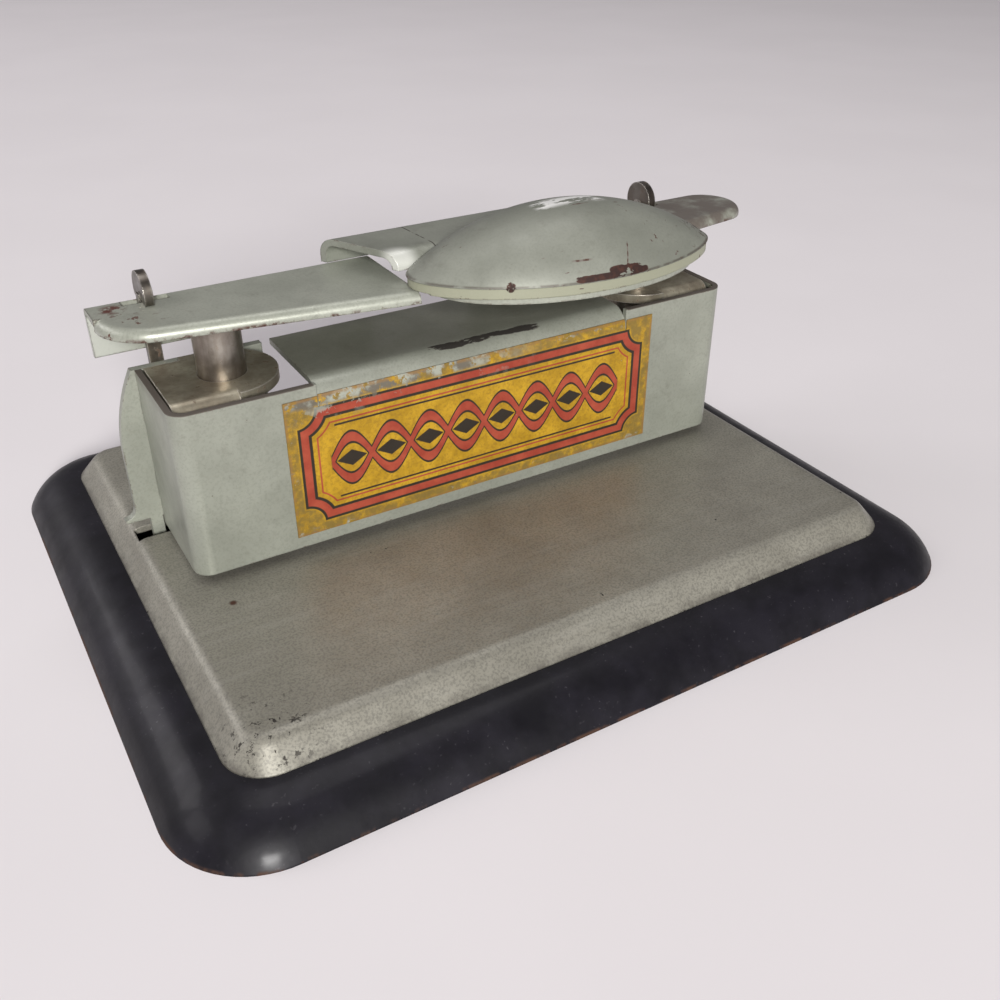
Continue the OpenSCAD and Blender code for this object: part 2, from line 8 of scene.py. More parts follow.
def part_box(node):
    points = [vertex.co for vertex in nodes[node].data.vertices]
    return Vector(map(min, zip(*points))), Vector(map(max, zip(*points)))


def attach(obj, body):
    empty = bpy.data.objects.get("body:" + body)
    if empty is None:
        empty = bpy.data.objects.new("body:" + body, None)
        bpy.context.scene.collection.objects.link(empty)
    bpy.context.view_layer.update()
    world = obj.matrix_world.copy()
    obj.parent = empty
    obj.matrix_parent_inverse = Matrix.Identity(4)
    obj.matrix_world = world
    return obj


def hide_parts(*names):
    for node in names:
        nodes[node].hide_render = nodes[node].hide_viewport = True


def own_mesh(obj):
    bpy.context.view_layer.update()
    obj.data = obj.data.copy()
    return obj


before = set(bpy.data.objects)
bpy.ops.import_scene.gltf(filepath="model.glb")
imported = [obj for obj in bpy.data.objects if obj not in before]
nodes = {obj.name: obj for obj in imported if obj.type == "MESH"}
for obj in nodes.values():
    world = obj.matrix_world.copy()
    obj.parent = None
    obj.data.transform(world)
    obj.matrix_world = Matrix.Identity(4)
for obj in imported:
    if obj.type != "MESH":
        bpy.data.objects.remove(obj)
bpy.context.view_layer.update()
MM = 0.001
X, Y, Z = 0, 1, 2


def corners(node):
    """The lowest and the highest corner of a CAD node in millimetres."""
    low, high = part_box(node)
    return low / MM, high / MM


# Places that the wear, the painted light and shade and the print are measured from, in millimetres
BED_LOW, BED_HIGH = corners("bed_plate")
CASE_LOW, CASE_HIGH = corners("shell")
LABEL_LOW, LABEL_HIGH = corners("label")
LABEL_MID = (LABEL_LOW + LABEL_HIGH) / 2
LABEL_HALF = (LABEL_HIGH - LABEL_LOW) / 2
LEVER_LOW, LEVER_HIGH = corners("lever_left")
YOKE_LOW, YOKE_HIGH = corners("yoke")
PAD_LOW, PAD_HIGH = corners("press_dome")
PAD_MID = (PAD_LOW + PAD_HIGH) / 2
PAD_BAND_HEIGHT = 1.5
PAD_RIM = PAD_LOW.z + PAD_BAND_HEIGHT
FLAP_GAP = 1.525
FLAP_HALF = -corners("guide_left")[1].x - FLAP_GAP

# Colours in linear light
RUST = (0.060, 0.020, 0.011)
RUST_DARK = (0.026, 0.009, 0.006)
RUST_RED = (0.085, 0.024, 0.015)
GRIME = (0.030, 0.026, 0.022)
BARE = (0.16, 0.14, 0.12)
ENAMEL_DEEP = (0.0050, 0.0046, 0.0066)
ENAMEL_PALE = (0.0115, 0.0105, 0.0150)
ENAMEL_DUST = (0.060, 0.057, 0.064)
ENAMEL_FOOT = (0.075, 0.036, 0.020)
BED_DEEP = (0.222, 0.212, 0.175)
BED_PALE = (0.292, 0.281, 0.235)
BED_GRAIN = (0.098, 0.094, 0.080)
BED_STREAK = (0.315, 0.308, 0.272)
BED_FOOT = (0.080, 0.072, 0.060)
BED_SHADE = (0.075, 0.070, 0.060)
BED_RUB = (0.105, 0.096, 0.082)
PAINT_DEEP = (0.245, 0.256, 0.214)
PAINT_PALE = (0.305, 0.317, 0.268)
PAINT_GRAIN = (0.150, 0.155, 0.128)
PAINT_GRIME = (0.105, 0.098, 0.078)
TAIL_BROWN = (0.105, 0.082, 0.070)
FLANGE_HIGHLIGHT = (0.52, 0.54, 0.49)
YOKE_HIGHLIGHT = (0.66, 0.67, 0.62)
PAD_RIM_HIGHLIGHT = (0.33, 0.335, 0.235)
PAD_LINE = (0.075, 0.066, 0.052)
PAD_CREST_HIGHLIGHT = (0.80, 0.80, 0.77)
FLAP_SHADE = (0.085, 0.077, 0.052)
CUT_EDGE = (0.095, 0.080, 0.066)
STEEL_DEEP = (0.25, 0.215, 0.18)
STEEL_PALE = (0.46, 0.425, 0.375)
STEEL_LINE = (0.20, 0.165, 0.13)
STEEL_RUST = (0.10, 0.052, 0.028)
STEEL_EDGE = (0.62, 0.59, 0.54)
GOLD_DEEP = (0.345, 0.200, 0.014)
GOLD_PALE = (0.485, 0.290, 0.022)
GOLD_GRAIN = (0.22, 0.125, 0.018)
GOLD_DIRT = (0.150, 0.108, 0.036)
RED_DEEP = (0.265, 0.042, 0.025)
RED_PALE = (0.36, 0.072, 0.040)
INK = (0.030, 0.024, 0.018)
SHEET_PALE = (0.30, 0.31, 0.26)
SHEET_DEEP = (0.13, 0.115, 0.09)
SHEET_RIM = (0.23, 0.13, 0.045)
FLOOR_DEEP = (0.700, 0.672, 0.682)
FLOOR_PALE = (0.716, 0.688, 0.698)
WORLD_TINT = (0.80, 0.76, 0.79)

# One layer of a bump: its height, how strong it is and how deep in millimetres
Layer = namedtuple("Layer", "height strength depth")


class Look:
    """A procedural material built from nodes, in the part's own coordinates."""

    # Levels between which nearly all of a noise lies
    NOISE_LOW = 0.3
    NOISE_HIGH = 0.7
    # Places of the Mix node's sockets for values and for colours
    VALUE_A, VALUE_B, VALUE_OUT = 2, 3, 0
    COLOUR_A, COLOUR_B, COLOUR_OUT = 6, 7, 2

    def __init__(self, name):
        self.mat = bpy.data.materials.new(name)
        self.mat.use_nodes = True
        self.tree = self.mat.node_tree
        self.tree.nodes.clear()
        out = self.new("OutputMaterial")
        self.shader = self.new("BsdfPrincipled")
        self.feed(out.inputs[0], self.shader.outputs[0])
        self.place = self.new("TexCoord").outputs["Object"]
        self.axes = None

    def new(self, kind):
        return self.tree.nodes.new("ShaderNode" + kind)

    def feed(self, socket, value):
        """Links a socket to another one, or gives it a plain value."""
        if isinstance(value, bpy.types.NodeSocket):
            self.tree.links.new(value, socket)
        elif socket.type == "RGBA":
            socket.default_value = (*value, 1.0)
        else:
            socket.default_value = value

    def set(self, name, value):
        self.feed(self.shader.inputs[name], value)

    def math(self, kind, a, b=0.0):
        n = self.new("Math")
        n.operation = kind
        self.feed(n.inputs[0], a)
        self.feed(n.inputs[1], b)
        return n.outputs[0]

    def axis(self, k):
        """The place along one axis in millimetres."""
        if self.axes is None:
            n = self.new("SeparateXYZ")
            self.feed(n.inputs[0], self.place)
            self.axes = [self.math("MULTIPLY", n.outputs[i], 1 / MM) for i in (X, Y, Z)]
        return self.axes[k]

    def noise(self, size, detail=4, rough=0.55, scale=(1, 1, 1), turn=0.0, shift=(0, 0, 0), warp=0.0):
        """Noise with features about size millimetres across; turn is about Z, shift is in metres."""
        mapping = self.new("Mapping")
        self.feed(mapping.inputs["Vector"], self.place)
        mapping.inputs["Scale"].default_value = scale
        mapping.inputs["Rotation"].default_value = (0, 0, turn)
        mapping.inputs["Location"].default_value = shift
        n = self.new("TexNoise")
        self.feed(n.inputs["Vector"], mapping.outputs[0])
        n.inputs["Scale"].default_value = 1 / (size * MM)
        n.inputs["Detail"].default_value = detail
        n.inputs["Roughness"].default_value = rough
        n.inputs["Distortion"].default_value = warp
        return n.outputs[0]

    def step(self, x, start, full):
        """0 up to start and 1 past full, smooth between; full may be the smaller of the two."""
        n = self.new("MapRange")
        n.interpolation_type = "SMOOTHSTEP"
        falling = start > full
        self.feed(n.inputs["Value"], x)
        n.inputs["From Min"].default_value = min(start, full)
        n.inputs["From Max"].default_value = max(start, full)
        n.inputs["To Min"].default_value = 1.0 if falling else 0.0
        n.inputs["To Max"].default_value = 0.0 if falling else 1.0
        return n.outputs[0]

    def spots(self, size, start, full, **kind):
        """Ragged spots where a noise of that size passes from start to full."""
        return self.step(self.noise(size, **kind), start, full)

    def between(self, x, low, high, soft):
        """1 from low to high, with ends that fade over soft on either side."""
        return self.both(self.step(x, low - soft, low + soft), self.step(x, high + soft, high - soft))

    def both(self, *masks):
        out = masks[0]
        for m in masks[1:]:
            out = self.math("MULTIPLY", out, m)
        return out

    def either(self, *masks):
        out = masks[0]
        for m in masks[1:]:
            out = self.math("MAXIMUM", out, m)
        return out

    def level(self, noise, low, high):
        """A noise spread over the room between two levels."""
        n = self.new("MapRange")
        self.feed(n.inputs["Value"], noise)
        n.inputs["From Min"].default_value = self.NOISE_LOW
        n.inputs["From Max"].default_value = self.NOISE_HIGH
        n.inputs["To Min"].default_value = low
        n.inputs["To Max"].default_value = high
        return n.outputs[0]

    def mix(self, mask, a, b):
        """Colour a where the mask is 0 and colour b where it is 1."""
        n = self.new("Mix")
        n.data_type = "RGBA"
        self.feed(n.inputs[0], mask)
        self.feed(n.inputs[self.COLOUR_A], a)
        self.feed(n.inputs[self.COLOUR_B], b)
        return n.outputs[self.COLOUR_OUT]

    def tint(self, base, colour, mask, amount=1.0):
        """The base colour turned to another by an amount where the mask is 1."""
        if amount != 1.0:
            mask = self.math("MULTIPLY", mask, amount)
        return self.mix(mask, base, colour)

    def blend(self, mask, a, b):
        """Value a where the mask is 0 and value b where it is 1."""
        n = self.new("Mix")
        self.feed(n.inputs[0], mask)
        self.feed(n.inputs[self.VALUE_A], a)
        self.feed(n.inputs[self.VALUE_B], b)
        return n.outputs[self.VALUE_OUT]

    def near(self, place, inner, outer):
        """1 within inner millimetres of a place, 0 past outer."""
        n = self.new("VectorMath")
        n.operation = "DISTANCE"
        self.feed(n.inputs[0], self.place)
        n.inputs[1].default_value = [v * MM for v in place]
        return self.step(n.outputs["Value"], outer * MM, inner * MM)

    def soft_normal(self, radius):
        n = self.new("Bevel")
        n.samples = 4
        n.inputs["Radius"].default_value = radius * MM
        return n.outputs[0]

    def edges(self, radius, start=0.02, full=0.16):
        """1 along the sharp edges of a piece, 0 on its faces."""
        n = self.new("VectorMath")
        n.operation = "DOT_PRODUCT"
        self.feed(n.inputs[0], self.soft_normal(radius))
        self.feed(n.inputs[1], self.new("NewGeometry").outputs["Normal"])
        return self.step(self.math("SUBTRACT", 1.0, n.outputs["Value"]), start, full)

    def surface(self, colour, noise, gloss, worn=None, dull=0.72):
        """The colour and the roughness, which a noise spreads over gloss and worn places bring to dull."""
        self.set("Base Color", colour)
        rough = self.level(noise, *gloss)
        if worn:
            rough = self.blend(worn, rough, dull)
        self.set("Roughness", rough)

    def bumps(self, *layers, radius):
        """Bump layers over edges that look rounded by a radius in millimetres."""
        normal = self.soft_normal(radius)
        for layer in layers:
            n = self.new("Bump")
            n.inputs["Strength"].default_value = layer.strength
            n.inputs["Distance"].default_value = layer.depth * MM
            self.feed(n.inputs["Height"], layer.height)
            self.feed(n.inputs["Normal"], normal)
            normal = n.outputs[0]
        self.set("Normal", normal)


def enamel():
    """Black enamel with dust, a worn line along its foot and rusty chips on its edges."""
    look = Look("black_enamel")
    cloud = look.noise(size=9, detail=5, rough=0.6)
    fine = look.noise(size=0.9, detail=3, rough=0.6)
    swell = look.noise(size=2.6, detail=3)
    base = look.mix(look.step(cloud, start=0.35, full=0.7), ENAMEL_DEEP, ENAMEL_PALE)
    dust = look.both(
        look.spots(size=0.55, start=0.66, full=0.74, detail=2, rough=0.5),
        look.step(cloud, start=0.4, full=0.62),
    )
    base = look.tint(base, ENAMEL_DUST, dust, amount=0.55)
    foot = look.both(
        look.step(look.axis(Z), start=0.5, full=0.15),
        look.spots(size=3.5, start=0.44, full=0.60, detail=5, rough=0.65),
    )
    base = look.tint(base, ENAMEL_FOOT, foot, amount=0.7)
    chips = look.both(look.edges(radius=0.5), look.spots(size=1.6, start=0.6, full=0.66, rough=0.6))
    base = look.tint(base, RUST, chips)
    rough = look.noise(size=4, detail=5, rough=0.65)
    look.surface(base, rough, gloss=(0.36, 0.54), worn=look.either(foot, chips), dull=0.75)
    look.set("Specular IOR Level", 0.2)
    look.set("Coat Weight", 0.1)
    look.set("Coat Roughness", 0.16)
    look.bumps(
        Layer(fine, strength=0.16, depth=0.06),
        Layer(swell, strength=0.14, depth=0.12),
        radius=0.25,
    )
    return look.mat


def bed_paint():
    """Silver-grey paint with a fine grain, darker along its foot, with painted shade round and under the
    case.
    """
    look = Look("bed_paint")
    cloud = look.noise(size=16, detail=5, rough=0.62)
    grain = look.noise(size=0.32, detail=2, rough=0.6)
    streak = look.noise(size=1.4, rough=0.6, scale=(0.06, 1.0, 1.0), turn=0.03)
    base = look.mix(look.step(cloud, start=0.32, full=0.7), BED_DEEP, BED_PALE)
    base = look.tint(base, BED_GRAIN, look.step(grain, start=0.42, full=0.66), amount=0.48)
    base = look.tint(base, BED_STREAK, look.step(streak, start=0.5, full=0.7), amount=0.20)
    foot = look.both(
        look.step(look.axis(Z), start=BED_HIGH.z - 2.2, full=BED_HIGH.z - 3.3),
        look.spots(size=2.2, start=0.36, full=0.6),
    )
    base = look.tint(base, BED_FOOT, foot, amount=0.55)
    # Painted shade: the bed is darkened round and under the case, where the case's shadow falls.
    from_middle = look.math("ABSOLUTE", look.axis(X))
    shade = look.both(
        look.step(from_middle, start=CASE_HIGH.x + 4.9, full=CASE_HIGH.x - 5.1),
        look.between(look.axis(Y), low=CASE_LOW.y - 2.17, high=CASE_HIGH.y - 1.25, soft=3.0),
    )
    base = look.tint(base, BED_SHADE, shade, amount=0.34)
    rub = look.both(
        look.edges(radius=1.4, start=0.015, full=0.10),
        look.spots(size=2.4, start=0.50, full=0.62, detail=5, rough=0.65),
    )
    base = look.tint(base, BED_RUB, rub, amount=0.40)
    front_left = (BED_LOW.x + 5.4, BED_LOW.y + 4.15, BED_HIGH.z - 0.6)
    chip = look.either(
        look.both(
            look.near(front_left, inner=2, outer=10),
            look.spots(size=1.1, start=0.58, full=0.62, detail=5, rough=0.7),
        ),
        look.both(
            look.edges(radius=0.7),
            look.spots(size=1.7, start=0.63, full=0.67, rough=0.65, shift=(0.2, 0, 0)),
        ),
        look.spots(size=1.9, start=0.745, full=0.765, detail=3, rough=0.6, shift=(0.5, 0.1, 0)),
    )
    base = look.tint(base, GRIME, chip)
    rust_spot = (BED_LOW.x + 9.9, BED_LOW.y + 29.15, BED_HIGH.z)
    base = look.tint(base, RUST, look.near(rust_spot, inner=0.25, outer=0.7))
    rough = look.noise(size=5, rough=0.6)
    look.surface(base, rough, gloss=(0.34, 0.50), worn=chip, dull=0.8)
    look.set("Metallic", 0.35)
    look.bumps(
        Layer(grain, strength=0.10, depth=0.03),
        Layer(streak, strength=0.05, depth=0.04),
        Layer(chip, strength=-0.25, depth=0.05),
        radius=0.3,
    )
    return look.mat


def painted(name, chips, extra=None, tone=1.0, gloss=(0.29, 0.45)):
    """Grey-green paint on sheet metal, worn to rust on its edges; extra adds the wear, painted highlights
    and painted shade of one piece, and tone makes lighter and darker copies of the paint that stand for
    light and shade.
    """
    look = Look(name)
    cloud = look.noise(size=12, detail=5, rough=0.6)
    grain = look.noise(size=0.35, detail=2, rough=0.6)
    deep = tuple(tone * v for v in PAINT_DEEP)
    pale = tuple(tone * v for v in PAINT_PALE)
    base = look.mix(look.step(cloud, start=0.32, full=0.7), deep, pale)
    base = look.tint(base, PAINT_GRAIN, look.step(grain, start=0.45, full=0.68), amount=0.24)
    grime = look.spots(size=4, start=0.56, full=0.74, detail=6, rough=0.7, warp=0.4)
    base = look.tint(base, PAINT_GRIME, grime, amount=0.30)
    worn = look.both(
        look.edges(radius=0.45),
        look.spots(size=1.5, start=chips - 0.11, full=chips - 0.05, detail=5, rough=0.65),
    )
    specks = look.spots(
        size=1.3, start=chips + 0.11, full=chips + 0.13, detail=3, rough=0.6, shift=(0.3, 0.2, 0.1)
    )
    chip = look.either(worn, specks)
    rust = look.spots(size=0.8, start=0.40, full=0.60, rough=0.65, shift=(0.7, 0, 0))
    metal = look.mix(rust, BARE, RUST)
    if extra:
        base, chip, metal = extra(look, base, chip, metal)
    base = look.tint(base, metal, chip)
    look.surface(base, look.noise(size=3.5, rough=0.6), gloss=gloss, worn=chip)
    look.set("Metallic", 0.25)
    look.bumps(
        Layer(grain, strength=0.08, depth=0.03),
        Layer(cloud, strength=0.04, depth=0.10),
        Layer(chip, strength=-0.3, depth=0.05),
        radius=0.22,
    )
    return look.mat


def lever_wear_and_highlight(look, base, chip, metal):
    """Rust on the left lever's tail and under the front lips, a bright inside at the end of the left
    flange, partly bare metal and partly painted highlight, and a brown tail on the right lever.
    """
    left, back, top = LEVER_LOW.x, LEVER_HIGH.y, LEVER_HIGH.z
    tail = look.either(
        look.both(
            look.near((left + 2.925, back - 3.45, top - 0.05), inner=0.8, outer=2.4),
            look.spots(size=1.4, start=0.44, full=0.52, detail=5, rough=0.65),
        ),
        look.both(
            look.near((left + 2.325, back - 10.25, top - 0.05), inner=2.5, outer=8),
            look.spots(size=1.8, start=0.57, full=0.62, detail=5, rough=0.65),
        ),
    )
    brown = look.both(
        look.step(look.axis(X), start=PAD_HIGH.x - 0.596, full=PAD_HIGH.x + 4.404),
        look.spots(size=3.5, start=0.2, full=0.55),
    )
    base = look.tint(base, TAIL_BROWN, brown, amount=0.85)
    # Painted highlight: the inside of the left flange's end is made brighter where the light from the left
    # falls, and partly stands for bare metal.
    flange_end = (left + 0.325, back - 1.75, top - 3.55)
    flange_highlight = look.both(
        look.near(flange_end, inner=3.0, outer=9.0),
        look.step(look.axis(Z), start=top - 1.05, full=top - 1.45),
    )
    base = look.tint(base, FLANGE_HIGHLIGHT, flange_highlight, amount=0.7)
    lip = look.both(
        look.step(look.axis(Z), start=top - 0.95, full=top - 1.45),
        look.step(look.axis(Y), start=back - 4.25, full=back - 6.25),
        look.spots(size=2.4, start=0.50, full=0.58, detail=5, rough=0.65),
    )
    outline = look.both(
        look.near(flange_end, inner=4.5, outer=8.0),
        look.edges(radius=0.3),
        look.spots(size=2.0, start=0.30, full=0.42),
    )
    metal = look.tint(metal, RUST_RED, tail)
    metal = look.tint(metal, GRIME, outline)
    return base, look.either(chip, tail, lip, outline), metal


def yoke_wear_and_highlight(look, base, chip, metal):
    """A dark seam across the yoke, slanted a little, and a bright front corner, partly worn bare and
    partly painted highlight.
    """
    slope = 0.08
    slanted = look.math("ADD", look.axis(X), look.math("MULTIPLY", look.axis(Y), slope))
    seam = look.both(
        look.between(slanted, low=YOKE_LOW.x + 13.05, high=YOKE_LOW.x + 13.25, soft=0.06),
        look.spots(size=2.2, start=0.38, full=0.46, detail=3),
    )
    # Painted highlight on the corner of the front fold, which also stands for paint worn bare there.
    front = (YOKE_LOW.x + 6.8, YOKE_LOW.y + 0.35, YOKE_HIGH.z - 1.2)
    base = look.tint(base, YOKE_HIGHLIGHT, look.near(front, inner=1.2, outer=3.6), amount=0.8)
    return base, look.either(chip, seam), look.tint(metal, GRIME, seam)


def pad_wear_and_highlights(look, base, chip, metal):
    """A paler, yellower band on the rim, which is painted highlight, rust along the front of the rim,
    nicks and a painted highlight on the crest.
    """
    x, y, z = look.axis(X), look.axis(Y), look.axis(Z)
    mid_x, mid_y, top = PAD_MID.x, PAD_MID.y, PAD_HIGH.z
    # Painted highlight: the rim band is made paler and yellower where the light from the front falls on
    # it.
    rim_highlight = look.step(z, start=PAD_RIM + 0.05, full=PAD_RIM - 0.15)
    base = look.tint(base, PAD_RIM_HIGHLIGHT, rim_highlight, amount=0.7)
    line = look.both(
        look.between(z, low=PAD_RIM + 0.05, high=PAD_RIM + 0.30, soft=0.12),
        look.spots(size=3.0, start=0.34, full=0.5),
    )
    base = look.tint(base, PAD_LINE, line, amount=0.8)
    front = look.step(y, start=mid_y - 3.56, full=mid_y - 6.56)
    patch = look.both(
        front,
        look.either(
            look.both(
                look.between(x, low=mid_x - 5.2, high=mid_x + 6.0, soft=0.9),
                look.between(z, low=PAD_RIM + 0.15, high=PAD_RIM + 0.85, soft=0.25),
            ),
            look.both(
                look.between(x, low=mid_x, high=mid_x + 5.0, soft=0.9),
                look.between(z, low=PAD_RIM + 0.15, high=PAD_RIM + 1.45, soft=0.35),
            ),
        ),
        look.spots(size=2.6, start=0.38, full=0.46, detail=6, rough=0.68, scale=(0.4, 1, 1)),
    )
    dot = look.both(
        look.near((mid_x - 14.0, mid_y - 7.56, PAD_RIM + 0.2), inner=0.1, outer=1.2),
        look.level(look.noise(size=0.8, detail=5, rough=0.7), low=0.0, high=1.3),
    )
    patch = look.step(look.either(patch, dot), start=0.24, full=0.40)
    slope = 0.5
    leaning = look.math("SUBTRACT", x, look.math("MULTIPLY", z, slope))
    lean_from = mid_x - slope * PAD_RIM
    nick = look.both(
        front,
        look.either(
            look.both(
                look.between(leaning, low=lean_from + 2.056, high=lean_from + 2.256, soft=0.05),
                look.between(z, low=PAD_RIM + 1.35, high=PAD_RIM + 3.75, soft=0.2),
            ),
            look.both(
                look.between(x, low=mid_x - 5.0, high=mid_x - 2.4, soft=0.5),
                look.between(z, low=PAD_RIM + 2.57, high=PAD_RIM + 2.79, soft=0.06),
            ),
            look.near((mid_x - 3.4, mid_y - 1.76, top - 0.449), inner=0.25, outer=0.6),
            look.near((mid_x + 0.4, mid_y - 1.26, top - 0.149), inner=0.3, outer=0.8),
            look.near((mid_x + 5.7, mid_y - 2.56, top - 0.749), inner=0.2, outer=0.5),
        ),
    )
    tip = look.both(
        look.near((PAD_HIGH.x - 2.096, mid_y - 1.06, PAD_RIM + 0.95), inner=2, outer=7),
        look.spots(size=1.2, start=0.54, full=0.58, detail=5, rough=0.65),
    )
    speck = look.both(
        look.step(x, start=mid_x + 3.4, full=mid_x + 9.4),
        look.spots(size=1.25, start=0.66, full=0.68, rough=0.6, shift=(0.1, 0.4, 0)),
    )
    scratch = look.both(
        look.spots(size=0.9, start=0.70, full=0.72, detail=2, rough=0.5, scale=(0.12, 1, 1), turn=0.5),
        look.spots(size=8, start=0.52, full=0.6, detail=3, rough=0.5, shift=(0.2, 0.3, 0)),
    )
    # Painted highlight: a near-white streak on the crest of the pad, with no change to roughness or bumps.
    crest_highlight = look.both(
        look.between(x, low=mid_x - 4.8, high=mid_x + 5.8, soft=0.9),
        look.between(y, low=mid_y - 0.26, high=mid_y + 2.94, soft=0.7),
        look.spots(size=1.9, start=0.46, full=0.50, detail=5, rough=0.7, scale=(0.45, 1.5, 1), turn=0.25),
    )
    base = look.tint(base, PAD_CREST_HIGHLIGHT, crest_highlight)
    deep_rust = look.mix(look.spots(size=0.9, start=0.45, full=0.7), RUST_DARK, RUST)
    metal = look.tint(metal, deep_rust, look.either(patch, tip))
    return base, look.either(chip, patch, tip, speck, scratch, nick), metal


def shell_wear_and_shade(look, base, chip, metal):
    """A worn strip on the bend, painted shade under the levers and bare cut edges beside the flap."""
    front, top = CASE_LOW.y, CASE_HIGH.z
    roof = look.step(look.axis(Z), start=top - 2.0, full=top - 0.4)
    strip = look.both(
        look.between(look.axis(Y), low=front + 1.83, high=front + 3.23, soft=0.9),
        roof,
        look.between(look.axis(X), low=-8.0, high=12.0, soft=2.5),
        look.level(look.noise(size=1.7, detail=6, rough=0.72, scale=(0.3, 1, 1)), low=0.0, high=1.35),
    )
    rub = look.step(strip, start=0.34, full=0.46)
    # Painted shade: the top of the case is darkened behind its front bend, under the levers and the pad.
    shade = look.both(roof, look.step(look.axis(Y), start=front + 1.63, full=front + 4.63))
    base = look.tint(base, FLAP_SHADE, shade, amount=0.46)
    from_middle = look.math("ABSOLUTE", look.axis(X))
    cut = look.both(
        look.step(look.axis(Z), start=top - 0.18, full=top - 0.06),
        look.step(from_middle, start=FLAP_HALF - 0.2, full=FLAP_HALF + 0.2),
    )
    metal = look.tint(metal, CUT_EDGE, cut)
    metal = look.tint(metal, GRIME, rub)
    return base, look.either(chip, rub, cut), metal


def steel(name, tone=(1.0, 1.0, 1.0), rust=0.60, gloss=(0.28, 0.46), metallic=1.0):
    """Bare steel with fine upright lines, rust spots and bright edges."""
    look = Look(name)
    cloud = look.noise(size=5, detail=5, rough=0.62)
    line = look.noise(size=0.7, rough=0.6, scale=(1, 1, 0.12))
    deep = tuple(t * v for t, v in zip(tone, STEEL_DEEP))
    pale = tuple(t * v for t, v in zip(tone, STEEL_PALE))
    base = look.mix(look.step(cloud, start=0.32, full=0.68), deep, pale)
    base = look.tint(base, STEEL_LINE, look.step(line, start=0.45, full=0.65), amount=0.3)
    spot = look.spots(size=1.3, start=rust, full=rust + 0.10, detail=6, rough=0.7, warp=0.3)
    base = look.tint(base, STEEL_RUST, spot, amount=0.75)
    base = look.tint(base, STEEL_EDGE, look.edges(radius=0.35), amount=0.6)
    look.surface(base, look.noise(size=1.8, detail=5, rough=0.65), gloss=gloss, worn=spot)
    rusty_metallic = 0.45
    look.set("Metallic", look.blend(spot, metallic, rusty_metallic))
    look.bumps(
        Layer(line, strength=0.08, depth=0.03),
        Layer(cloud, strength=0.06, depth=0.08),
        Layer(spot, strength=0.2, depth=0.03),
        radius=0.15,
    )
    return look.mat


# The label's print, in millimetres from the middle of the label
BORDER_INSET = 1.6
BORDER_SCOOP = 2.7
WAVE_HEIGHT = 3.3
WAVE_PITCH = 12.2
WAVE_HALF = 2 * WAVE_PITCH
LOZENGE_SLOPE = 0.55
PIN_HALF = 23.6


